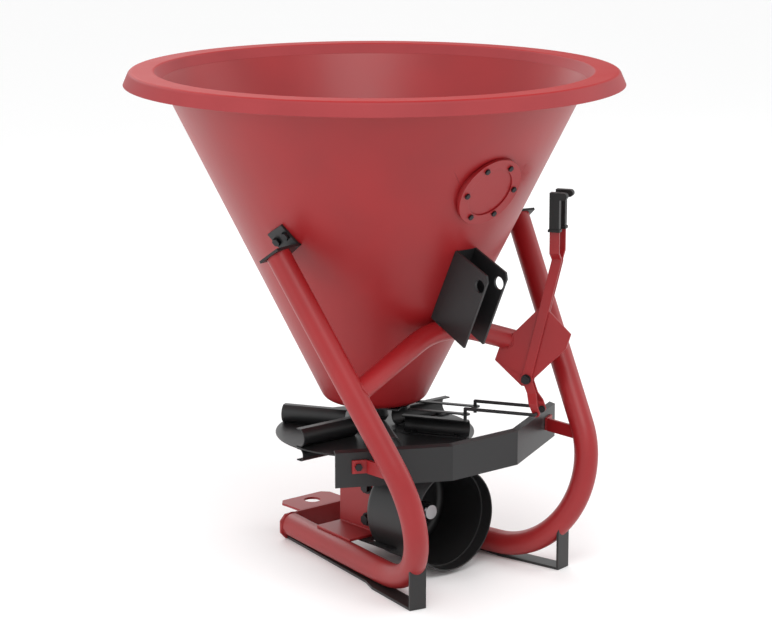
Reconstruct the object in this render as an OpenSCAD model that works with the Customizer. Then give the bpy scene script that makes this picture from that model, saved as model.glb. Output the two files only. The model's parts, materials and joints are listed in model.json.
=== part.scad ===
// Cone-hopper broadcast spreader for a three-point hitch, driven by a shaft at the front.
// Millimetres, +Z up, -Y towards the tractor. Origin on the ground under the hopper's axis.

/* [Hopper] */
// Height of the rim above the ground
rim_z = 995; // [900:5:1100]
// Outer diameter of the rim's skirt
rim_d = 1000; // [900:10:1100]
// Outer diameter of the cone where it meets the rim
cone_top_d = 851.4; // [760:1:950]
// Height of the hopper's flat bottom
floor_z = 317; // [310:1:330]
// Sheet thickness of the hopper
sheet = 2.5; // [1.5:0.5:4]

/* [Frame] */
// Outer diameter of the bent side tubes
tube_d = 48.3; // [42.4:0.1:60.3]
// Wall thickness of the frame's tubes
tube_wall = 3.2; // [2:0.1:5]
// Centreline bend radius of the side tubes
bend_r = 176.7; // [150:1:200]
// How much thinner a tube gets, in radius, where it is bent
bend_thin = 0.04; // [0.02:0.01:0.1]
// Outer diameter of the arch tube
arch_d = 42.4; // [33.7:0.1:48.3]
// Thickness of the ground strips
strip_t = 5; // [4:1:8]

/* [Hitch] */
// Top link hole diameter
link_hole_d = 25.8; // [19.5:0.1:26]
// Gap between the top link ears
link_gap = 45; // [44:1:52]
// Hole diameter in the upper rear lug
rear_hole_d = 35; // [22:0.5:38]
// Hole diameter in the lower rear lug
rear_pin_d = 22; // [16:0.5:35]

/* [Spinner] */
// Disc diameter
disc_d = 408; // [350:2:450]
// Height of the disc's middle plane
disc_z = 248; // [247:0.5:249]
// Number of vanes, on each face
vane_count = 6; // [4:1:8]
// Height of the vanes above the disc
vane_up = 38; // [30:1:39]
// Height of the vanes below the disc
vane_down = 26; // [20:1:26]

/* [Drive] */
// Height of the input shaft's axis
drive_z = 114; // [113:0.5:115]
// Teeth on each bevel gear
gear_teeth = 12; // [10:1:14]
// Outer radius of the shaft guard
guard_r = 105; // [90:1:106]

/* [Controls] */
// Direction of the control quadrant, in degrees from the front towards +X
quad_az = 29.9; // [25:0.1:35]
// Distance of the lever pivot from the hopper's axis
pivot_r = 324.6; // [315:0.1:335]
// Height of the lever pivot
pivot_z = 386; // [380:1:392]
// Distance from the pivot to the rod hole
rod_arm = 70.5; // [60:0.5:75]

/* [Hidden] */
$fn = 64;
fit_gap = 0.05;
bend_lap = 0.02;
slope = 0.4934;
slope_deg = atan(slope);
cone_top_z = rim_z - 20;
cone_top_r = cone_top_d / 2;
sheet_h = sheet / cos(slope_deg);
tube_r = tube_d / 2;
tube_z = strip_t + tube_r;
base_z = tube_z + tube_r;
base_t = 5;
foot_corner = [205.7, -528.6, tube_z];
tube_rear = [95.5, 159.4, tube_z];
tube_top = [315.5, -86.5, 670];
web_y = 159.4;
web_t = 5;
arch_top = [0, -215.3, 498.4];
arch_bend = 228;
arch_half = 22;
arch_run = 203;
arch_lean = 29.8;
link_ear = 5;
link_tilt = 25;
link_org = [0, -203, 525];
plate_x = 51.5;
plate_t = 6;
bolt_yz = [[-44, drive_z - 34], [-44, drive_z + 34], [24, drive_z + 34]];
disc_t = 3;
shaft_r = 12.5;
disc_top = disc_z + disc_t / 2;
disc_low = disc_z - disc_t / 2;
lip_t = 2.5;
shutter_t = 3;
shutter_z = floor_z - 3.4;
tongue_z = floor_z - 9;
rod_x = 33;
rod_r = 3.5;
hook_y = -205;
rod_ang = 21.6;
rod_yw = [-rod_arm * sin(rod_ang), -rod_arm * cos(rod_ang)];
lever_t = 5;
lever_in = 3.4;
lever_w = 20;
lever_deg = 13.5;
joggle = 16.1;
knee_w = 244;
knee_u = knee_w * tan(lever_deg);
bracket_az = -13.5;
bracket_tilt = -35.3;
cover_z = 792;
guard_y = -243;
guard_back = -88;
shield_bot = 232;
shield_top = 301;
shield_in = [86, -335];
shield_out = [292.6, -228];
shield_t = 3;
shield_deg = atan2(shield_out[1] - shield_in[1], shield_out[0] - shield_in[0]);
gear_c = [19, 26];
gear_back = 34;

function cone_r(z) = cone_top_r - slope * (cone_top_z - z);
function cover_sag(x) = x * x / (2 * cone_r(cover_z) / cos(slope_deg));

function arc_points(c, r, a0, a1) =
    [for (k = [0:6]) c + r * [cos(a0 + (a1 - a0) * k / 6), sin(a0 + (a1 - a0) * k / 6)]];

// ---------- shared shapes ----------

module between(p, q, r) {
    v = q - p;
    translate(p)
        rotate([0, acos(v[2] / norm(v)), atan2(v[1], v[0])])
            cylinder(h = norm(v), r = r);
}

module arc_band(c, ro, ri, a0, a1) {
    intersection() {
        translate(c)
            difference() {
                circle(r = ro);
                circle(r = ri);
            }
        translate(c)
            polygon([[0, 0], 2 * ro * [cos(a0), sin(a0)],
                     3 * ro * [cos((a0 + a1) / 2), sin((a0 + a1) / 2)],
                     2 * ro * [cos(a1), sin(a1)]]);
    }
}

module hex_bolt(shank_r, shank, flats, head) {
    translate([0, 0, -shank])
        cylinder(h = shank, r = shank_r);
    cylinder(h = head, r = flats / 2 / cos(30), $fn = 6);
}

module washer(ro, ri, h) {
    difference() {
        cylinder(h = h, r = ro);
        translate([0, 0, -1])
            cylinder(h = h + 2, r = ri);
    }
}

// Solid that fills the hopper's outside, used to trim what meets it.
module cone_body() {
    z0 = floor_z + 10;
    translate([0, 0, z0])
        cylinder(h = cone_top_z - z0, r1 = cone_r(z0), r2 = cone_top_r, $fn = 128);
}

// ---------- frame tubes ----------

module side_path(r, extra = 0) {
    run = tube_rear - foot_corner;
    lean = tube_top - foot_corner;
    head = atan2(run[1], run[0]);
    along = lean[0] * cos(head) + lean[1] * sin(head);
    across = lean[1] * cos(head) - lean[0] * sin(head);
    tilt = atan2(lean[2], across);
    open = atan2(norm([across, lean[2]]), along);
    reach = bend_r / tan(open / 2);
    translate(foot_corner)
        rotate([0, 0, head])
            rotate([tilt, 0, 0]) {
                translate([reach - bend_lap, 0, 0])
                    rotate([0, 90, 0])
                        cylinder(h = norm(run) - reach + 12 + extra, r = r);
                rotate([0, 0, open])
                    translate([reach - bend_lap, 0, 0])
                        rotate([0, 90, 0])
                            cylinder(h = norm(lean) - reach + bend_lap + extra, r = r);
                translate([reach, bend_r, 0])
                    rotate([0, 0, 90 + open])
                        rotate_extrude(angle = 180 - open, $fn = 120)
                            translate([bend_r, 0])
                                circle(r = r - bend_thin);
            }
}

module side_tube_right() {
    color("firebrick")
        difference() {
            side_path(tube_r);
            side_path(tube_r - tube_wall, 5);
            translate([0, web_y, 0])
                cube([250, 60, 200]);
        }
}

module side_tube_left() {
    color("firebrick")
        mirror([1, 0, 0])
            side_tube_right();
}

module arch_path(r, extra = 0) {
    translate(arch_top)
        rotate([-arch_lean, 0, 0])
            translate([0, 0, -arch_bend])
                rotate([90, 0, 0]) {
                    rotate([0, 0, 90 - arch_half])
                        rotate_extrude(angle = 2 * arch_half, $fn = 180)
                            translate([arch_bend, 0])
                                circle(r = r - bend_thin);
                    for (s = [0, 1])
                        mirror([s, 0, 0])
                            rotate([0, 0, -arch_half])
                                translate([-bend_lap, arch_bend, 0])
                                    rotate([0, 90, 0])
                                        cylinder(h = arch_run + extra, r = r);
                }
}

module arch_tube() {
    color("firebrick")
        difference() {
            arch_path(arch_d / 2);
            arch_path(arch_d / 2 - tube_wall, 30);
            side_path(tube_r);
            mirror([1, 0, 0])
                side_path(tube_r);
        }
}

module link_bracket() {
    half = link_gap / 2;
    wide = 106;
    tall = 160;
    color([0.16, 0.16, 0.17])
        difference() {
            translate(link_org)
                rotate([link_tilt, 0, 0]) {
                    for (s = [-1, 1])
                        translate([s * (half + link_ear / 2), 0, 0])
                            difference() {
                                rotate([90, 0, -90])
                                    linear_extrude(height = link_ear, center = true)
                                        polygon([[0, 0], [wide, 0], [wide, tall - 6],
                                                 [wide - 8, tall + 5], [0, tall]]);
                                translate([0, -91.5, 136])
                                    rotate([0, 90, 0])
                                        cylinder(h = 20, r = link_hole_d / 2, center = true);
                            }
                    translate([-half, -link_ear, 0])
                        cube([link_gap, link_ear, tall]);
                }
            arch_path(arch_d / 2);
            cone_body();
        }
}

module skid() {
    heading = atan2(98, 517.4);
    long = norm([98, 517.4]);
    color([0.16, 0.16, 0.17])
        difference() {
            translate([97, web_y, 0])
                rotate([0, 0, heading]) {
                    linear_extrude(height = strip_t)
                        polygon([[-18, -long], [18, -long], [18, 150 - long], [9, 190 - long],
                                 [9, 8], [-9, 8], [-9, 190 - long], [-18, 150 - long]]);
                    translate([-18, -long, 0])
                        cube([36, strip_t, 92]);
                }
            side_path(tube_r);
            translate([0, web_y, -1])
                cube([250, 60, 200]);
        }
}

module skid_right() {
    skid();
}

module skid_left() {
    mirror([1, 0, 0])
        skid();
}

module base_plate() {
    color("firebrick")
        difference() {
            translate([0, 0, base_z])
                linear_extrude(height = base_t)
                    polygon([[-130, -74], [130, -74], [118, 46], [-118, 46]]);
            translate([0, 0, base_z - 1])
                cylinder(h = base_t + 2, r = 16);
        }
}

module gearbox_plate() {
    difference() {
        translate([plate_x, -70, base_z + base_t])
            cube([plate_t, 114, drive_z + 54 - base_z - base_t]);
        for (b = bolt_yz)
            translate([plate_x - 1, b[0], b[1]])
                rotate([0, 90, 0])
                    cylinder(h = plate_t + 2, r = 6);
    }
}

module gearbox_plate_right() {
    color("firebrick")
        gearbox_plate();
}

module gearbox_plate_left() {
    color("firebrick")
        mirror([1, 0, 0])
            gearbox_plate();
}

module rear_web() {
    color("firebrick")
        translate([0, web_y + web_t, 0])
            rotate([90, 0, 0])
                linear_extrude(height = web_t)
                    polygon([[-109, 0], [109, 0], [122, 14], [122, 40], [109, 53], [-109, 53],
                             [-122, 40], [-122, 14]]);
}

module rear_lug(hole_d) {
    y0 = web_y + web_t;
    difference() {
        linear_extrude(height = 5)
            polygon([[-65.5, y0], [65.5, y0], [65.5, 228], [52, 243], [-52, 243], [-65.5, 228]]);
        translate([0, 207, -1])
            cylinder(h = 7, r = hole_d / 2);
    }
}

module rear_lug_upper() {
    color("firebrick")
        translate([0, 0, 48])
            rear_lug(rear_hole_d);
}

module rear_lug_lower() {
    color("firebrick")
        rear_lug(rear_pin_d);
}

// ---------- hopper ----------

module hopper_shell() {
    edge = 30;
    corner = cone_r(floor_z);
    flat = corner - edge * tan((90 - slope_deg) / 2);
    rim_a = -slope_deg;
    join = [flat + edge * cos(rim_a), floor_z + edge + edge * sin(rim_a)];
    inner = [flat + (edge - sheet) * cos(rim_a), floor_z + edge + (edge - sheet) * sin(rim_a)];
    color("firebrick")
        difference() {
            rotate_extrude($fn = 128) {
                polygon([join, [cone_top_r, cone_top_z], [cone_top_r - sheet_h, cone_top_z], inner]);
                arc_band([flat, floor_z + edge], edge, edge - sheet, -90, rim_a);
                translate([0, floor_z])
                    square([flat, sheet]);
            }
            translate([0, 0, floor_z - 1])
                cylinder(h = 10, r = 20);
            rotate([0, 0, quad_az])
                for (s = [-1, 1])
                    translate([s * 45 - 21, -15, floor_z - 1])
                        cube([42, 30, 10]);
            for (s = [-1, 1])
                bracket_bolts(s)
                    translate([0, 0, -20])
                        cylinder(h = 40, r = 5);
            cover_places()
                translate([0, 0, -20])
                    cylinder(h = 40, r = 3);
        }
}

module hopper_rim() {
    out_a = atan2(27.5, 12);
    in_a = atan2(20, 437.5 - cone_top_r);
    ro = 10;
    ri = 8;
    co = [rim_d / 2 - 12 - ro * tan(out_a / 2), rim_z - ro];
    ci = [437.5 + ri * tan(in_a / 2), rim_z - ri];
    skirt = [rim_d / 2, rim_z - 27.5];
    color("firebrick")
        rotate_extrude($fn = 128)
            polygon(concat(
                [[cone_top_r - sheet_h, cone_top_z]],
                arc_points(ci, ri, 90 + in_a, 90),
                arc_points(co, ro, 90, 90 - out_a),
                [skirt, skirt - sheet * [sin(out_a), cos(out_a)]],
                arc_points(co, ro - sheet, 90 - out_a, 90),
                arc_points(ci, ri - sheet, 90, 90 + in_a),
                [[cone_top_r, cone_top_z]]));
}

module floor_bush() {
    color([0.2, 0.2, 0.21])
        translate([0, 0, floor_z + sheet])
            difference() {
                cylinder(h = 6, r = 22);
                translate([0, 0, -1])
                    cylinder(h = 8, r = shaft_r + 0.5);
            }
}

// Places along the cover's normal, pointing away from the hopper.
module cover_frame() {
    translate([0, -cone_r(cover_z), cover_z])
        rotate([90 + slope_deg, 0, 0])
            children();
}

module cover_places() {
    cover_frame()
        for (k = [0:5])
            translate([60 * cos(60 * k), 60 * sin(60 * k), 0])
                children();
}

module cover_plate() {
    color("firebrick")
        difference() {
            cover_frame()
                union() {
                    translate([0, 0, 1])
                        cylinder(h = 3, r = 74);
                    translate([0, 0, -9])
                        difference() {
                            cylinder(h = 10, r = 70);
                            translate([0, 0, -1])
                                cylinder(h = 12, r = 66.5);
                        }
                }
            cover_places()
                cylinder(h = 20, r = 3);
            cone_body();
        }
}

module cover_ring() {
    color("firebrick")
        difference() {
            cover_frame()
                translate([0, 0, 4])
                    washer(74, 52, 3);
            cover_places()
                cylinder(h = 20, r = 3);
        }
}

module cover_bolts() {
    color([0.12, 0.12, 0.12])
        cover_frame()
            for (k = [0:5]) {
                sag = cover_sag(60 * cos(60 * k));
                translate([60 * cos(60 * k), 60 * sin(60 * k), 7]) {
                    hex_bolt(3, 7 + sag + 10, 10, 4);
                    translate([0, 0, -7 - sag - 9])
                        cylinder(h = 5, r = 5 / cos(30), $fn = 6);
                }
            }
}

module bracket_leg_frame(side) {
    mirror([side > 0 ? 0 : 1, 0, 0])
        rotate([0, 0, bracket_az + 1])
            translate([cone_r(692), 0, 692])
                rotate([0, slope_deg, 0])
                    rotate([-32.4, 0, 0])
                        children();
}

module bracket_bolts(side) {
    bracket_leg_frame(side)
        for (s = [-1, 1])
            translate([0, s * 16, 6])
                rotate([0, 90, 0])
                    children();
}

module hopper_bracket(side) {
    color([0.16, 0.16, 0.17])
        difference() {
            union() {
                bracket_leg_frame(side)
                    translate([0, -26, -26])
                        cube([5, 52, 54]);
                mirror([side > 0 ? 0 : 1, 0, 0])
                    rotate([0, 0, bracket_az])
                        translate([327, -10.5, 670])
                            rotate([bracket_tilt, 0, 0])
                                translate([-62, -26, 0])
                                    cube([90, 52, 5]);
            }
            cone_body();
            mirror([side > 0 ? 0 : 1, 0, 0])
                side_path(tube_r);
            bracket_bolts(side)
                translate([0, 0, -20])
                    cylinder(h = 40, r = 5);
        }
}

module hopper_bracket_right() {
    hopper_bracket(1);
}

module hopper_bracket_left() {
    hopper_bracket(-1);
}

module hopper_bolts() {
    color([0.12, 0.12, 0.12])
        for (s = [-1, 1])
            bracket_bolts(s)
                translate([0, 0, 5]) {
                    hex_bolt(5, 16, 16, 6.4);
                    translate([0, 0, -17.4])
                        cylinder(h = 8, r = 8 / cos(30), $fn = 6);
                }
}

// ---------- gearbox and shaft guard ----------

module gearbox_housing() {
    color([0.13, 0.13, 0.14])
        difference() {
            union() {
                translate([-plate_x, -64, drive_z - 46])
                    cube([2 * plate_x, 114, 96]);
                translate([0, -64, drive_z])
                    rotate([90, 0, 0])
                        cylinder(h = 3, r = 34);
            }
            translate([-34, -50, drive_z - 34])
                cube([68, 84, 70]);
            translate([0, 0, drive_z])
                cylinder(h = 60, r = 24);
            translate([0, 0, drive_z])
                rotate([90, 0, 0])
                    cylinder(h = 80, r = 24);
            for (b = bolt_yz)
                translate([0, b[0], b[1]])
                    for (s = [-1, 1])
                        translate([s * (plate_x - 6), 0, 0])
                            rotate([0, 90, 0])
                                cylinder(h = 14, r = 6, center = true);
        }
}

module gearbox_top_cap() {
    color([0.13, 0.13, 0.14])
        translate([0, 0, drive_z + 50])
            difference() {
                union() {
                    cylinder(h = 7, r = 30.5);
                    cylinder(h = 11, r = 20);
                }
                translate([0, 0, -1])
                    cylinder(h = 13, r = shaft_r + 0.6);
            }
}

module gearbox_front_cap() {
    color([0.13, 0.13, 0.14])
        translate([0, -67, drive_z])
            rotate([90, 0, 0])
                difference() {
                    union() {
                        cylinder(h = 5, r = 34);
                        cylinder(h = -guard_back - 67, r = 27);
                    }
                    translate([0, 0, -1])
                        cylinder(h = 40, r = shaft_r + 0.6);
                    translate([0, 0, 5])
                        cylinder(h = 40, r = 18.5);
                    guard_holes()
                        cylinder(h = 10, r = 2.5);
                }
}

module guard_holes() {
    for (k = [0:3])
        rotate([0, 0, 45 + 90 * k])
            translate([22.7, 0, -guard_back - 67 - 8])
                children();
}

module gearbox_bolts() {
    color([0.12, 0.12, 0.12])
        for (s = [-1, 1])
            for (b = bolt_yz)
                translate([s * (plate_x + plate_t), b[0], b[1]])
                    rotate([0, 90 * s, 0]) {
                        cylinder(h = 2.5, r = 14);
                        translate([0, 0, 2.5])
                            hex_bolt(6, plate_t + 14.5, 19, 7.5);
                    }
}

module shaft_bearings() {
    color([0.6, 0.6, 0.62]) {
        translate([0, 0, drive_z + 37])
            washer(24, shaft_r + fit_gap, 12);
        translate([0, -52, drive_z])
            rotate([90, 0, 0])
                washer(24, shaft_r + fit_gap, 12);
    }
}

module shaft_guard() {
    long = guard_back - guard_y;
    edge = 18;
    color([0.13, 0.13, 0.14])
        translate([0, guard_back, drive_z])
            rotate([90, 0, 0])
                difference() {
                    rotate_extrude($fn = 96) {
                        translate([guard_r - 3, edge])
                            square([3, long - edge]);
                        translate([guard_r - 6, edge])
                            square([3, long - edge - 27]);
                        translate([19, 0])
                            square([guard_r - edge - 19, 3]);
                        arc_band([guard_r - edge, edge], edge, edge - 3, -90, 0);
                    }
                    for (k = [0:3])
                        rotate([0, 0, 45 + 90 * k])
                            translate([22.7, 0, -1])
                                cylinder(h = 10, r = 2.5);
                }
}

module guard_tray() {
    color([0.16, 0.16, 0.17])
        difference() {
            translate([-100, -165, base_z - 4])
                cube([200, 130, 4]);
            translate([0, guard_back + 0.5, drive_z])
                rotate([90, 0, 0])
                    cylinder(h = 120, r = guard_r + 0.5);
            translate([0, 0, base_z - 5])
                cylinder(h = 6, r = 16);
        }
}

module guard_ring() {
    color([0.16, 0.16, 0.17])
        translate([0, guard_back - 3, drive_z])
            rotate([90, 0, 0])
                difference() {
                    washer(29, 19, 2.5);
                    for (k = [0:3])
                        rotate([0, 0, 45 + 90 * k])
                            translate([22.7, 0, -1])
                                cylinder(h = 10, r = 2.5);
                }
}

module guard_screws() {
    color([0.12, 0.12, 0.12])
        translate([0, guard_back - 5.5, drive_z])
            rotate([90, 0, 0])
                for (k = [0:3])
                    rotate([0, 0, 45 + 90 * k])
                        translate([22.7, 0, 0])
                            hex_bolt(2.5, 12.5, 7, 3);
}

// ---------- guard in front of the disc ----------

module shield() {
    half = shield_deg / 2;
    mid = shield_t / cos(half);
    lip = [[0, 0], [-12, 3.5], [-12, 1], [0, -2.5]];
    color([0.13, 0.13, 0.14]) {
        difference() {
            translate([0, 0, shield_bot])
                linear_extrude(height = shield_top - shield_bot)
                    polygon([[-shield_out[0], shield_out[1]], [-shield_in[0], shield_in[1]],
                             shield_in, shield_out,
                             shield_out + shield_t * [-sin(shield_deg), cos(shield_deg)],
                             shield_in + mid * [-sin(half), cos(half)],
                             [-shield_in[0] + mid * sin(half), shield_in[1] + mid * cos(half)],
                             [-shield_out[0] + shield_t * sin(shield_deg),
                              shield_out[1] + shield_t * cos(shield_deg)]]);
            shield_places()
                translate([0, 0, -20])
                    cylinder(h = 40, r = 4);
        }
        translate([shield_in[0], shield_in[1], shield_top])
            rotate([90, 0, -90])
                linear_extrude(height = 2 * shield_in[0])
                    polygon(lip);
        for (s = [0, 1])
            mirror([s, 0, 0])
                translate([shield_out[0], shield_out[1], shield_top])
                    rotate([90, 0, shield_deg - 90])
                        linear_extrude(height = norm(shield_out - shield_in))
                            polygon(lip);
    }
}

module shield_places() {
    x = 253.2;
    y = shield_in[1] + (x - shield_in[0]) * tan(shield_deg);
    for (s = [0, 1])
        mirror([s, 0, 0])
            translate([x, y, 273])
                rotate([90, 0, shield_deg])
                    children();
}

module shield_arm() {
    x = 253.2;
    y = shield_in[1] + (x - shield_in[0]) * tan(shield_deg);
    difference() {
        union() {
            translate([x, y, 273])
                rotate([90, 0, shield_deg])
                    translate([-18, -13, 0])
                        cube([30, 26, 5]);
            translate([236.5, -366, 260])
                cube([6, 366 + y - 15, 26]);
        }
        translate([x, y, 273])
            rotate([90, 0, shield_deg])
                translate([0, 0, -20])
                    cylinder(h = 40, r = 4);
        side_path(tube_r);
    }
}

module shield_arm_right() {
    color("firebrick")
        shield_arm();
}

module shield_arm_left() {
    color("firebrick")
        mirror([1, 0, 0])
            shield_arm();
}

module shield_bolts() {
    color([0.12, 0.12, 0.12])
        shield_places() {
            translate([0, 0, 5])
                hex_bolt(4, 15, 13, 5.3);
            translate([0, 0, -9.8])
                cylinder(h = 6.8, r = 6.5 / cos(30), $fn = 6);
        }
}

// ---------- controls, drawn in the quadrant's own frame ----------

// Turns the front direction to the quadrant and moves to the lever pivot.
module at_pivot() {
    rotate([0, 0, quad_az])
        translate([0, -pivot_r, pivot_z])
            children();
}

// Lays a drawing of (outwards, up) in the quadrant's plane, with its thickness centred.
module upright(t) {
    rotate([90, 0, -90])
        linear_extrude(height = t, center = true)
            children();
}

module quadrant_plate() {
    color("firebrick")
        difference() {
            at_pivot()
                difference() {
                    upright(6)
                        polygon([[-12, -16], [-2, -16], [80, 68], [89, 97], [38, 147], [27, 150],
                                 [-58, 62], [-68, 33]]);
                    rotate([0, 90, 0])
                        cylinder(h = 20, r = 5, center = true);
                }
            arch_path(arch_d / 2);
        }
}

module pivot_bolt() {
    color([0.12, 0.12, 0.12])
        at_pivot()
            rotate([0, 90, 0]) {
                cylinder(h = 38, r = 5, center = true);
                for (s = [-1, 1])
                    translate([0, 0, s * 10.2])
                        cylinder(h = 2.6, r = 10, center = true);
                for (s = [-1, 1])
                    translate([0, 0, s * 14.7])
                        cylinder(h = 6.4, r = 8 / cos(30), center = true, $fn = 6);
            }
}

// A lever seen along its pivot: (outwards, up) from the pivot.
module lever_outline() {
    half = lever_w / 2;
    mitre = half * tan(lever_deg / 2);
    side = half * [cos(lever_deg), -sin(lever_deg)];
    low = half * [cos(rod_ang), sin(rod_ang)];
    hole = [-rod_yw[0], rod_yw[1]];
    difference() {
        union() {
            circle(r = 13);
            polygon([side, [knee_u + half, knee_w - mitre], [knee_u + half, knee_w + 62],
                     [knee_u + 8, knee_w + 62], [knee_u + 8, knee_w + 132],
                     [knee_u - 8, knee_w + 132], [knee_u - 8, knee_w + 62],
                     [knee_u - half, knee_w + 62], [knee_u - half, knee_w + mitre], -side]);
            polygon([low, -low, hole - low * 0.73, hole + low * 0.73]);
            translate(hole)
                circle(r = 7.4);
        }
        circle(r = 5 + fit_gap);
        translate(hole)
            circle(r = rod_r + fit_gap);
    }
}

module lever(s) {
    i = lever_in;
    o = lever_in + lever_t;
    j = joggle;
    k = knee_w;
    at_pivot()
        mirror([s > 0 ? 0 : 1, 0, 0])
            intersection() {
                translate([20, 0, 0])
                    upright(60)
                        lever_outline();
                rotate([90, 0, 0])
                    linear_extrude(height = 400, center = true)
                        polygon([[o + j, -80], [o + j, -47], [o, -28], [o, k + 4], [o + j, k + 18],
                                 [o + j, k + 140], [i + j, k + 140], [i + j, k + 20], [i, k + 6],
                                 [i, -30], [i + j, -49], [i + j, -80]]);
            }
}

module lever_a() {
    color("firebrick")
        lever(-1);
}

module lever_b() {
    color("firebrick")
        lever(1);
}

module grip(s) {
    flat = lever_in + lever_t / 2 + joggle;
    color([0.1, 0.1, 0.1])
        at_pivot()
            translate([s * flat, -knee_u, knee_w + 62])
                difference() {
                    union() {
                        translate([-7, -10, 0])
                            cube([14, 20, 78]);
                        translate([-9, -12, 0])
                            cube([18, 24, 5]);
                        translate([-7, -18, 64])
                            cube([14, 28, 14]);
                        translate([0, -18, 71])
                            rotate([0, 90, 0])
                                cylinder(h = 14, r = 7, center = true);
                    }
                    translate([-lever_t / 2, -8, -1])
                        cube([lever_t, 16, 71]);
                }
}

module grip_a() {
    grip(-1);
}

module grip_b() {
    grip(1);
}

module rod(s) {
    z = pivot_z + rod_yw[1];
    y = -pivot_r + rod_yw[0];
    in = lever_in + joggle;
    color([0.13, 0.13, 0.14])
        rotate([0, 0, quad_az]) {
            between([s * rod_x, y, z], [s * rod_x, hook_y, z], rod_r);
            between([s * rod_x, hook_y, z], [s * rod_x, hook_y, z - 24], rod_r);
            between([s * (in - 6), y, z], [s * rod_x, y, z], rod_r);
            between([s * (in - 3.4), y, z], [s * (in - 0.9), y, z], 7);
            translate([s * rod_x, y, z])
                sphere(r = rod_r);
            translate([s * rod_x, hook_y, z])
                sphere(r = rod_r);
        }
}

module rod_a() {
    rod(-1);
}

module rod_b() {
    rod(1);
}

module shutter(s) {
    color([0.5, 0.5, 0.52])
        rotate([0, 0, quad_az])
            mirror([s > 0 ? 0 : 1, 0, 0])
                difference() {
                    union() {
                        translate([19, -75, shutter_z])
                            cube([52, 97, shutter_t]);
                        translate([rod_x - 10, -84, shutter_z])
                            cube([20, 12, shutter_t]);
                        translate([rod_x - 10, -84, tongue_z])
                            cube([20, 3, shutter_z + shutter_t - tongue_z]);
                        translate([rod_x - 6, hook_y, tongue_z])
                            cube([12, -hook_y - 82, shutter_t]);
                        translate([rod_x, hook_y, tongue_z])
                            cylinder(h = shutter_t, r = 10);
                    }
                    translate([24, -51.2, shutter_z - 1])
                        cube([42, 30, 10]);
                    translate([rod_x, hook_y, tongue_z - 1])
                        cylinder(h = 10, r = rod_r + 0.8);
                }
}

module shutter_a() {
    shutter(-1);
}

module shutter_b() {
    shutter(1);
}

module shutter_guides() {
    lip_z = shutter_z - 3.4;
    color([0.13, 0.13, 0.14])
        rotate([0, 0, quad_az])
            for (s = [0, 1])
                mirror([s, 0, 0]) {
                    translate([71.5, -30, lip_z])
                        cube([4, 60, floor_z - lip_z]);
                    translate([64, -30, lip_z])
                        cube([9, 60, 3]);
                    translate([14.2, -42, lip_z])
                        cube([4.2, 112, floor_z - lip_z]);
                    translate([14.2, -42, lip_z])
                        cube([9, 112, 3]);
                }
}

// ---------- spinner ----------

module vane_places() {
    for (k = [0:vane_count - 1])
        rotate([0, 0, 360 / vane_count * k])
            children();
}

module vane_bolt_places() {
    vane_places()
        for (x = [85, 175])
            translate([x, 1, 0])
                children();
}

// A channel of the given height, bulging anticlockwise and open clockwise.
module channel(h) {
    big = h * 0.55;
    mid = sqrt(big * big - h * h / 4);
    cut = sqrt(big * big - pow(h / 2 - lip_t, 2)) - mid;
    translate([60, 0, 0])
        rotate([90, 0, 90])
            linear_extrude(height = 140) {
                translate([-7, 0])
                    square([14, lip_t]);
                translate([-7, h - lip_t])
                    square([14, lip_t]);
                intersection() {
                    translate([6 - mid, h / 2])
                        difference() {
                            circle(r = big);
                            circle(r = big - lip_t);
                        }
                    translate([6, 0])
                        square([big, h]);
                }
            }
}

module vanes_upper() {
    color([0.13, 0.13, 0.14])
        difference() {
            vane_places()
                translate([0, 0, disc_top])
                    channel(vane_up);
            vane_bolt_places()
                translate([0, 0, disc_z - 10])
                    cylinder(h = 20, r = 3);
        }
}

module vanes_lower() {
    color([0.13, 0.13, 0.14])
        difference() {
            vane_places()
                translate([0, 0, disc_low - vane_down])
                    channel(vane_down);
            vane_bolt_places()
                translate([0, 0, disc_z - 10])
                    cylinder(h = 20, r = 3);
        }
}

module vane_bolts() {
    color([0.3, 0.3, 0.31])
        vane_bolt_places() {
            translate([0, 0, disc_top + lip_t])
                hex_bolt(3, disc_t + 2 * lip_t + 8, 10, 4);
            translate([0, 0, disc_low - lip_t - 5])
                cylinder(h = 5, r = 5 / cos(30), $fn = 6);
        }
}

module spinner_disc() {
    color([0.13, 0.13, 0.14])
        difference() {
            translate([0, 0, disc_low])
                cylinder(h = disc_t, r = disc_d / 2, $fn = 128);
            translate([0, 0, disc_low - 1])
                cylinder(h = disc_t + 2, r = shaft_r);
            vane_bolt_places()
                translate([0, 0, disc_z - 10])
                    cylinder(h = 20, r = 3);
        }
}

module spinner_hub() {
    color([0.13, 0.13, 0.14])
        difference() {
            translate([0, 0, disc_top])
                rotate_extrude()
                    polygon([[0, 0], [42, 0], [42, 5], [21, 5], [21, 20], [29, 33], [26, 33],
                             [26, 55], [0, 55]]);
            translate([0, 0, disc_low - 30])
                cylinder(h = 120, r = shaft_r);
            pin_path(80);
        }
}

module pin_path(long) {
    translate([0, 0, disc_top + 44])
        rotate([0, 90, 30])
            cylinder(h = long, r = 4, center = true);
}

module hub_pin() {
    color([0.6, 0.6, 0.62])
        pin_path(66);
}

module hub_nut() {
    color([0.13, 0.13, 0.14])
        difference() {
            union() {
                translate([0, 0, disc_low - 5])
                    cylinder(h = 5, r = 42);
                translate([0, 0, disc_low - 22])
                    cylinder(h = 22, r = 24);
            }
            translate([0, 0, disc_low - 30])
                cylinder(h = 120, r = shaft_r);
        }
}

module output_shaft() {
    color([0.6, 0.6, 0.62])
        difference() {
            translate([0, 0, drive_z + 20])
                cylinder(h = 368 - drive_z - 20, r = shaft_r);
            pin_path(80);
        }
}

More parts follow.
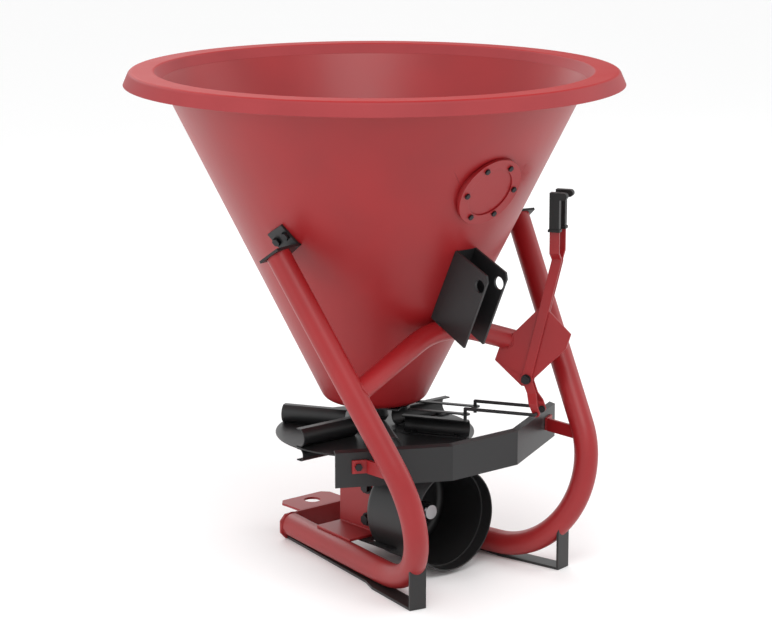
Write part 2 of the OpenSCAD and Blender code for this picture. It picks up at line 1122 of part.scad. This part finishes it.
module agitator() {
    color([0.5, 0.5, 0.52])
        difference() {
            union() {
                translate([0, 0, 335])
                    cylinder(h = 26, r = 20);
                between([-80, 0, 348], [80, 0, 348], 5.5);
                for (s = [-1, 1])
                    translate([s * 70, 0, 348])
                        cylinder(h = 45, r = 4);
            }
            translate([0, 0, 330])
                cylinder(h = 60, r = shaft_r);
        }
}

// Bevel gear with its apex at the origin, its back along +Z and a tooth on +X.
module bevel_gear() {
    a = 2.1;
    d = 2.7;
    r0 = gear_c[0];
    r1 = gear_c[1];
    turn = 360 / gear_teeth;
    slot = (6.2832 * r1 / gear_teeth + 1.5) / 2;
    difference() {
        rotate_extrude()
            polygon([[shaft_r, r0 + d], [r0 - d, r0 + d], [r0 + a, r0 - a], [r1 + a, r1 - a],
                     [r1 - d, r1 + d], [20, gear_back], [shaft_r, gear_back]]);
        for (k = [0:gear_teeth - 1])
            rotate([0, 0, turn * (k + 0.5)])
                translate([r0 - d, 0, r0 + d])
                    rotate([0, 45, 0])
                        translate([0, 0, -8])
                            linear_extrude(height = 30)
                                polygon([[0, -slot * 0.38], [10, -slot * 0.85],
                                         [10, slot * 0.85], [0, slot * 0.38]]);
    }
}

module output_gear() {
    color([0.45, 0.45, 0.47])
        translate([0, 0, drive_z])
            rotate([0, 0, -90 + 180 / gear_teeth])
                bevel_gear();
}

module input_gear() {
    color([0.45, 0.45, 0.47])
        translate([0, 0, drive_z])
            rotate([90, 0, 0])
                rotate([0, 0, 90])
                    bevel_gear();
}

module input_shaft() {
    color([0.6, 0.6, 0.62])
        translate([0, 0, drive_z])
            rotate([90, 0, 0])
                difference() {
                    union() {
                        translate([0, 0, 20])
                            cylinder(h = 80, r = shaft_r);
                        translate([0, 0, 73])
                            cylinder(h = 100, r = 17.45);
                        translate([0, 0, 173])
                            cylinder(h = 3, r1 = 17.45, r2 = 14.45);
                    }
                    for (k = [0:5])
                        rotate([0, 0, 60 * k])
                            translate([14.85, -4.6, 100])
                                cube([10, 9.2, 90]);
                    translate([0, 0, 133])
                        washer(25, 14.6, 8);
                }
}

hopper_shell();
hopper_rim();
floor_bush();
cover_plate();
cover_ring();
cover_bolts();
hopper_bracket_left();
hopper_bracket_right();
hopper_bolts();
side_tube_left();
side_tube_right();
arch_tube();
link_bracket();
skid_left();
skid_right();
base_plate();
gearbox_plate_left();
gearbox_plate_right();
rear_web();
rear_lug_upper();
rear_lug_lower();
gearbox_housing();
gearbox_top_cap();
gearbox_front_cap();
gearbox_bolts();
shaft_bearings();
shaft_guard();
guard_tray();
guard_ring();
guard_screws();
shield();
shield_arm_left();
shield_arm_right();
shield_bolts();
quadrant_plate();
pivot_bolt();
shutter_guides();
spinner_disc();
vanes_upper();
vanes_lower();
vane_bolts();
spinner_hub();
hub_pin();
hub_nut();
output_shaft();
output_gear();
agitator();
input_shaft();
input_gear();
lever_a();
grip_a();
lever_b();
grip_b();
rod_a();
rod_b();
shutter_a();
shutter_b();
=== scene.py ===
"""Looks of the broadcast spreader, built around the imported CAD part."""
import json
import math
import random

import bpy
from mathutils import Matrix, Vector


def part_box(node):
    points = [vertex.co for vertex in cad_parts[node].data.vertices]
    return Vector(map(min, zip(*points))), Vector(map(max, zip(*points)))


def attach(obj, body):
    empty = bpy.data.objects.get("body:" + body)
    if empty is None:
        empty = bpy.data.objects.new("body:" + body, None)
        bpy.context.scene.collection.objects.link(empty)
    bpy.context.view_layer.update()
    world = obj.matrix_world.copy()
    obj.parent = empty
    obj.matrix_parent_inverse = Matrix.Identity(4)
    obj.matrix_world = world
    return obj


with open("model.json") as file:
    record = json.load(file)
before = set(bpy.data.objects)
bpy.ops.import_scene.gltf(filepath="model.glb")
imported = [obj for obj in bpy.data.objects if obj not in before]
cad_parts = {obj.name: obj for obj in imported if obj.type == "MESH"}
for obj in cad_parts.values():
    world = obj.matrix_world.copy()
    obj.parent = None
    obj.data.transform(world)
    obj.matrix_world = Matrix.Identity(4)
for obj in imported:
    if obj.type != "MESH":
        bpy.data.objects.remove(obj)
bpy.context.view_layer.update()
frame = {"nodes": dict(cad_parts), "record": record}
nodes = frame["nodes"]

# ---------- camera and light ----------
CAMERA_TURN = math.radians(-40.25)  # from the front towards -X
CAMERA_REACH = 5.024
CAMERA_HEIGHT = 1.619
AIM = Vector((0.0, -0.035, 0.487))
LENS = 118.0


def look_at(obj, target):
    obj.rotation_euler = (target - obj.location).to_track_quat("-Z", "Y").to_euler()


camera_data = bpy.data.cameras.new("camera")
camera_data.lens = LENS
camera_data.sensor_width = 36.0
camera = bpy.data.objects.new("camera", camera_data)
bpy.context.collection.objects.link(camera)
camera.location = (
    CAMERA_REACH * math.sin(CAMERA_TURN),
    -CAMERA_REACH * math.cos(CAMERA_TURN),
    CAMERA_HEIGHT,
)
look_at(camera, AIM)
bpy.context.scene.camera = camera


def area_light(name, place, size, power):
    data = bpy.data.lights.new(name, "AREA")
    data.shape = "DISK"
    data.size = size
    data.energy = power
    lamp = bpy.data.objects.new(name, data)
    bpy.context.collection.objects.link(lamp)
    lamp.location = place
    look_at(lamp, Vector((0.0, 0.0, 0.45)))


area_light("key_light", (-1.3, -2.2, 4.4), 2.8, 85.0)
area_light("side_light", (4.2, -1.6, 2.2), 2.4, 22.0)
area_light("back_light", (1.2, 3.8, 2.8), 2.6, 34.0)
area_light("left_light", (-4.4, 0.8, 1.9), 2.4, 24.0)

world = bpy.data.worlds.new("studio")
world.use_nodes = True
world.node_tree.nodes["Background"].inputs[0].default_value = (1.0, 1.0, 1.0, 1.0)
world.node_tree.nodes["Background"].inputs[1].default_value = 1.0
bpy.context.scene.world = world
bpy.context.scene.view_settings.view_transform = "Standard"


# ---------- materials ----------
def paint(name, color, rough, metal=0.0, shine=0.45, grain=900.0, bump=0.02, mottle=0.08,
          stretch=(1.0, 1.0, 1.0), coat=0.0, dust=0.0, painted_top_reflection=None):
    """A surface with fine grain in its relief, slow mottling in colour and gloss, a
    little pale dust that thins out towards the top, and, where asked, a painted reflection on its
    up-facing faces: another colour there that stands in for how they reflect the light."""
    mat = bpy.data.materials.new(name)
    mat.use_nodes = True
    tree = mat.node_tree
    shader = tree.nodes["Principled BSDF"]
    shader.inputs["Metallic"].default_value = metal
    shader.inputs["Specular IOR Level"].default_value = shine
    shader.inputs["Coat Weight"].default_value = coat
    shader.inputs["Coat Roughness"].default_value = 0.25
    coords = tree.nodes.new("ShaderNodeTexCoord")
    mapping = tree.nodes.new("ShaderNodeMapping")
    mapping.inputs["Scale"].default_value = stretch
    tree.links.new(coords.outputs["Object"], mapping.inputs["Vector"])

    slow = tree.nodes.new("ShaderNodeTexNoise")
    slow.inputs["Scale"].default_value = 7.0
    slow.inputs["Detail"].default_value = 4.0
    tree.links.new(mapping.outputs["Vector"], slow.inputs["Vector"])
    tint = tree.nodes.new("ShaderNodeValToRGB")
    tint.color_ramp.elements[0].position = 0.3
    tint.color_ramp.elements[1].position = 0.7
    tint.color_ramp.elements[0].color = [c * (1 - mottle) for c in color] + [1.0]
    tint.color_ramp.elements[1].color = [min(c * (1 + mottle), 1.0) for c in color] + [1.0]
    tree.links.new(slow.outputs["Fac"], tint.inputs["Fac"])

    gloss = tree.nodes.new("ShaderNodeMapRange")
    gloss.inputs["To Min"].default_value = rough - 0.05
    gloss.inputs["To Max"].default_value = rough + 0.07
    tree.links.new(slow.outputs["Fac"], gloss.inputs["Value"])
    tree.links.new(gloss.outputs["Result"], shader.inputs["Roughness"])

    fine = tree.nodes.new("ShaderNodeTexNoise")
    fine.inputs["Scale"].default_value = grain
    fine.inputs["Detail"].default_value = 2.0
    tree.links.new(mapping.outputs["Vector"], fine.inputs["Vector"])
    relief = tree.nodes.new("ShaderNodeBump")
    relief.inputs["Strength"].default_value = bump
    relief.inputs["Distance"].default_value = 0.001
    tree.links.new(fine.outputs["Fac"], relief.inputs["Height"])
    tree.links.new(relief.outputs["Normal"], shader.inputs["Normal"])

    finish = tint.outputs["Color"]
    # painted reflection: faces that look up get another colour, standing in for how they reflect
    # the light
    if painted_top_reflection:
        facing = tree.nodes.new("ShaderNodeNewGeometry")
        split = tree.nodes.new("ShaderNodeSeparateXYZ")
        tree.links.new(facing.outputs["Normal"], split.inputs["Vector"])
        level = tree.nodes.new("ShaderNodeMapRange")
        level.inputs["From Min"].default_value = 0.75
        level.inputs["From Max"].default_value = 0.95
        tree.links.new(split.outputs["Z"], level.inputs["Value"])
        mix = tree.nodes.new("ShaderNodeMix")
        mix.data_type = "RGBA"
        mix.inputs["B"].default_value = (*painted_top_reflection, 1.0)
        tree.links.new(level.outputs["Result"], mix.inputs["Factor"])
        tree.links.new(finish, mix.inputs["A"])
        finish = mix.outputs["Result"]
    if dust:
        split = tree.nodes.new("ShaderNodeSeparateXYZ")
        tree.links.new(coords.outputs["Object"], split.inputs["Vector"])
        low = tree.nodes.new("ShaderNodeMapRange")
        low.inputs["From Min"].default_value = 0.0
        low.inputs["From Max"].default_value = 0.16
        low.inputs["To Min"].default_value = dust
        low.inputs["To Max"].default_value = 0.0
        tree.links.new(split.outputs["Z"], low.inputs["Value"])
        amount = tree.nodes.new("ShaderNodeMath")
        amount.operation = "MULTIPLY"
        tree.links.new(low.outputs["Result"], amount.inputs[0])
        tree.links.new(slow.outputs["Fac"], amount.inputs[1])
        mix = tree.nodes.new("ShaderNodeMix")
        mix.data_type = "RGBA"
        mix.inputs["B"].default_value = (0.42, 0.38, 0.33, 1.0)
        tree.links.new(amount.outputs["Value"], mix.inputs["Factor"])
        tree.links.new(finish, mix.inputs["A"])
        finish = mix.outputs["Result"]
    tree.links.new(finish, shader.inputs["Base Color"])
    return mat


RED = (0.285, 0.0075, 0.01)
BLACK = (0.012, 0.012, 0.0128)
MATERIALS = {
    "red_paint": paint("red_powder_coat", RED, 0.42, grain=700.0, bump=0.05, coat=0.06,
                       dust=0.05),
    "black_paint": paint("black_powder_coat", BLACK, 0.4, shine=0.4, bump=0.06, dust=0.03),
    "cast_black": paint("painted_casting", BLACK, 0.52, shine=0.35, grain=380.0, bump=0.35),
    "dark_zinc": paint("black_zinc", (0.03, 0.03, 0.032), 0.38, metal=0.85, grain=1500.0),
    "bright_steel": paint("machined_steel", (0.42, 0.42, 0.43), 0.3, metal=1.0,
                          grain=1100.0, bump=0.06, stretch=(1.0, 1.0, 0.06)),
    "gear_steel": paint("cut_gear_steel", (0.33, 0.325, 0.315), 0.32, metal=1.0, grain=1300.0),
    "black_plastic": paint("moulded_plastic", BLACK, 0.36, shine=0.4, grain=1200.0,
                           bump=0.08, dust=0.03),
    "grip_plastic": paint("grip_plastic", (0.008, 0.008, 0.008), 0.5, shine=0.35,
                          grain=1600.0, bump=0.2),
}
# the rim's paint holds painted light: its specular is turned down, its sides are painted a paler
# pink as a painted sheen, and its up-facing faces a deeper red as a painted reflection
rim_painted_sheen = paint("rim_powder_coat_painted_sheen", (0.3, 0.042, 0.046), 0.5, shine=0.12, grain=700.0,
                bump=0.05, painted_top_reflection=(0.34, 0.0015, 0.0025))
oiled_shaft = paint("oiled_shaft", (0.06, 0.06, 0.063), 0.34, metal=0.9, grain=1100.0, bump=0.06)
SPECIAL = {"hopper_rim": rim_painted_sheen, "output_shaft": oiled_shaft}
weld_red = paint("painted_weld", RED, 0.44, grain=260.0, bump=0.3, coat=0.06)
weld_black = paint("painted_weld_black", BLACK, 0.45, shine=0.4, grain=260.0, bump=0.3)

# ---------- the CAD nodes: finish and softened edges ----------
EDGE = {"hopper_rim": 0.0004, "hopper_shell": 0.0004, "input_gear": 0.0003,
        "output_gear": 0.0003, "guard_screws": 0.0003, "cover_bolts": 0.0003}
PLAIN_EDGE = 0.0007
for row in frame["record"]["subparts"]:
    obj = nodes[row["node"]]
    for slot in obj.material_slots:
        slot.material = SPECIAL.get(row["node"], MATERIALS[row["material_slot"]])
    weld = obj.modifiers.new("weld", "WELD")
    weld.merge_threshold = 0.00001
    bevel = obj.modifiers.new("bevel", "BEVEL")
    bevel.width = EDGE.get(row["node"], PLAIN_EDGE)
    bevel.segments = 2
    bevel.limit_method = "ANGLE"
    bevel.angle_limit = math.radians(38)
    smooth = obj.modifiers.new("normals", "WEIGHTED_NORMAL")
    smooth.keep_sharp = True

# ---------- weld beads ----------
random.seed(11)


def bead(name, points, radius, body, material, closed=False):
    """A weld bead: a tube along points whose thickness ripples."""
    sides = 8
    count = len(points)
    verts, faces = [], []
    for i, p in enumerate(points):
        if closed:
            ahead, behind = points[(i + 1) % count], points[i - 1]
        else:
            ahead, behind = points[min(i + 1, count - 1)], points[max(i - 1, 0)]
        along = (ahead - behind).normalized()
        if i == 0:
            side = along.orthogonal().normalized()
        else:
            side = (side - along * side.dot(along)).normalized()
        across = along.cross(side)
        thick = radius * (1.0 + 0.16 * math.sin(i * 2.2) + random.uniform(-0.06, 0.06))
        if not closed and i in (0, count - 1):
            thick *= 0.45
        for k in range(sides):
            a = 2 * math.pi * k / sides
            verts.append(p + side * (thick * math.cos(a)) + across * (thick * math.sin(a)))
    rings = count if closed else count - 1
    for i in range(rings):
        for k in range(sides):
            a, b = i * sides, ((i + 1) % count) * sides
            n = (k + 1) % sides
            faces.append((a + k, a + n, b + n, b + k))
    if not closed:
        faces.append(tuple(range(sides))[::-1])
        faces.append(tuple((count - 1) * sides + k for k in range(sides)))
    mesh = bpy.data.meshes.new(name)
    mesh.from_pydata([tuple(v) for v in verts], [], faces)
    for polygon in mesh.polygons:
        polygon.use_smooth = True
    mesh.materials.append(material)
    obj = bpy.data.objects.new(name, mesh)
    bpy.context.collection.objects.link(obj)
    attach(obj, body)
    return obj


def red_bead(name, points, radius, closed=False):
    bead(name, points, radius, "frame", weld_red, closed)


def line(a, b, step=0.0022):
    a, b = Vector(a), Vector(b)
    count = max(3, int((b - a).length / step))
    return [a.lerp(b, i / (count - 1)) for i in range(count)]


def circle(centre, across, up, radius, count):
    """Points round a circle, from the across direction towards up."""
    turns = [2 * math.pi * k / count for k in range(count)]
    return [centre + across * (radius * math.cos(a)) + up * (radius * math.sin(a)) for a in turns]


def mirrored(points):
    return [Vector((-p.x, p.y, p.z)) for p in points]


TUBE_R = 0.02415
ARCH_R = 0.0212
TUBE_TOP = Vector((0.3155, -0.0865, 0.67))
TUBE_FOOT = Vector((0.2057, -0.5286, 0.02915))
TUBE_REAR = Vector((0.0955, 0.1594, 0.02915))
LEAN = math.radians(29.8)
HALF = math.radians(22)
ARCH_TOP = Vector((0.0, -0.2153, 0.4984))
ARCH_BEND = 0.228
DROP = Vector((0.0, -math.sin(LEAN), -math.cos(LEAN)))
arch_dir = Vector((math.cos(HALF), 0, 0)) + DROP * math.sin(HALF)
arch_knee = ARCH_TOP + Vector((ARCH_BEND * math.sin(HALF), 0, 0)) + DROP * (
    ARCH_BEND * (1 - math.cos(HALF)))


def saddle(start, along, radius, axis_point, axis, big, step=72):
    """Where a round tube from start runs into a bigger round tube."""
    axis = axis.normalized()
    side = along.orthogonal().normalized()
    ring = []
    for base in circle(start, side, along.cross(side), radius, step):
        off = base - axis_point
        d = along - axis * along.dot(axis)
        o = off - axis * off.dot(axis)
        qa, qb, qc = d.dot(d), 2 * d.dot(o), o.dot(o) - big * big
        ring.append(base + along * ((-qb - math.sqrt(max(qb * qb - 4 * qa * qc, 0))) / (2 * qa)))
    return ring


ring = saddle(arch_knee, arch_dir, ARCH_R, TUBE_TOP, TUBE_FOOT - TUBE_TOP, TUBE_R)
red_bead("arch_weld_right", ring, 0.0026, closed=True)
red_bead("arch_weld_left", mirrored(ring), 0.0026, closed=True)

PROUD = 0.0005  # how far a bead's middle stands off its plate
plate_lo, plate_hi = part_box("gearbox_plate_right")
base_top = plate_lo[2]
for side in (1, -1):
    tag = "right" if side > 0 else "left"
    x = side * (plate_hi[0] + PROUD)
    z = base_top + PROUD
    red_bead("plate_weld_" + tag,
             line((x, plate_lo[1] + 0.002, z), (x, plate_hi[1] - 0.002, z)), 0.0021)

web_lo, web_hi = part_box("rear_web")
LUG_HALF = 0.063
for level, tag in ((0.0476, "upper"), (0.0056, "lower")):
    y = web_hi[1] + PROUD
    red_bead("lug_weld_" + tag, line((-LUG_HALF, y, level), (LUG_HALF, y, level)), 0.0018)

run = (TUBE_REAR - TUBE_FOOT).normalized()
flat = Vector((run.y, -run.x, 0.0))
web_face = web_lo[1] - 0.0004
ring = [p + run * ((web_face - p.y) / run.y)
        for p in circle(TUBE_REAR, flat, Vector((0, 0, 1)), TUBE_R, 72)]
red_bead("web_weld_right", ring, 0.0022, closed=True)
red_bead("web_weld_left", mirrored(ring), 0.0022, closed=True)


def inside(outline, u, w):
    """Whether a point is inside a closed outline."""
    hit = False
    for (u0, w0), (u1, w1) in zip(outline, outline[1:] + outline[:1]):
        if (w0 > w) != (w1 > w) and u < (u1 - u0) * (w - w0) / (w1 - w0) + u0:
            hit = not hit
    return hit


def longest_run(points, keep):
    """The longest unbroken run of a ring's points that keep() accepts."""
    flags = [keep(p) for p in points]
    start = next(i for i in range(len(points)) if flags[i] and not flags[i - 1])
    best, now = [], []
    for i in range(len(points)):
        k = (start + i) % len(points)
        if flags[k]:
            now.append(points[k])
        else:
            best, now = max(best, now, key=len), []
    return max(best, now, key=len)


# the quadrant plate on the arch tube
QUAD = math.radians(29.9)
PIVOT = Vector((0.3246 * math.sin(QUAD), -0.3246 * math.cos(QUAD), 0.386))
ACROSS = Vector((math.cos(QUAD), math.sin(QUAD), 0))
OUTWARD = Vector((math.sin(QUAD), -math.cos(QUAD), 0))
PLATE = [(-0.012, -0.016), (-0.002, -0.016), (0.08, 0.068), (0.089, 0.097), (0.038, 0.147),
         (0.027, 0.15), (-0.058, 0.062), (-0.068, 0.033)]
PLATE_FACE = 0.0034  # from the plate's middle to a bead on its face
arch_side = arch_dir.orthogonal().normalized()
arch_round = circle(arch_knee, arch_side, arch_dir.cross(arch_side), ARCH_R, 120)
for face, tag in ((PLATE_FACE, "b"), (-PLATE_FACE, "a")):
    ring = [p + arch_dir * ((face - (p - PIVOT).dot(ACROSS)) / arch_dir.dot(ACROSS))
            for p in arch_round]
    seam = longest_run(ring, lambda p: inside(PLATE, (p - PIVOT).dot(OUTWARD), (p - PIVOT).z))
    red_bead("quadrant_weld_" + tag, seam, 0.0019)

# the link bracket on the arch tube
TILT = math.radians(25)
BRACKET = Vector((0.0, -0.203, 0.525))
EAR = [(0, 0), (0.106, 0), (0.106, 0.154), (0.098, 0.165), (0, 0.16)]
EAR_FACE = 0.0279  # from the middle to a bead on the ear's outer face


def on_ear(p):
    d = p - BRACKET
    ahead = -(d.y * math.cos(TILT) + d.z * math.sin(TILT))
    above = d.z * math.cos(TILT) - d.y * math.sin(TILT)
    return inside(EAR, ahead, above)


for side, tag in ((1, "right"), (-1, "left")):
    x = side * EAR_FACE
    drop = ARCH_BEND - math.sqrt(ARCH_BEND ** 2 - x * x)
    middle = Vector((x, ARCH_TOP.y + DROP.y * drop, ARCH_TOP.z + DROP.z * drop))
    ring = circle(middle, Vector((0, 1, 0)), Vector((0, 0, 1)), ARCH_R, 120)
    bead("bracket_weld_" + tag, longest_run(ring, on_ear), 0.002, "frame",
         weld_black)

# ---------- floor ----------
bpy.ops.mesh.primitive_plane_add(size=60.0, location=(0.0, 0.0, -0.0005))
floor = bpy.context.object
floor.name = "studio_floor"
floor_mat = bpy.data.materials.new("studio_floor")
floor_mat.use_nodes = True
floor_shader = floor_mat.node_tree.nodes["Principled BSDF"]
floor_shader.inputs["Base Color"].default_value = (0.96, 0.96, 0.96, 1.0)
floor_shader.inputs["Roughness"].default_value = 0.55
floor_shader.inputs["Specular IOR Level"].default_value = 0.2
floor.data.materials.append(floor_mat)
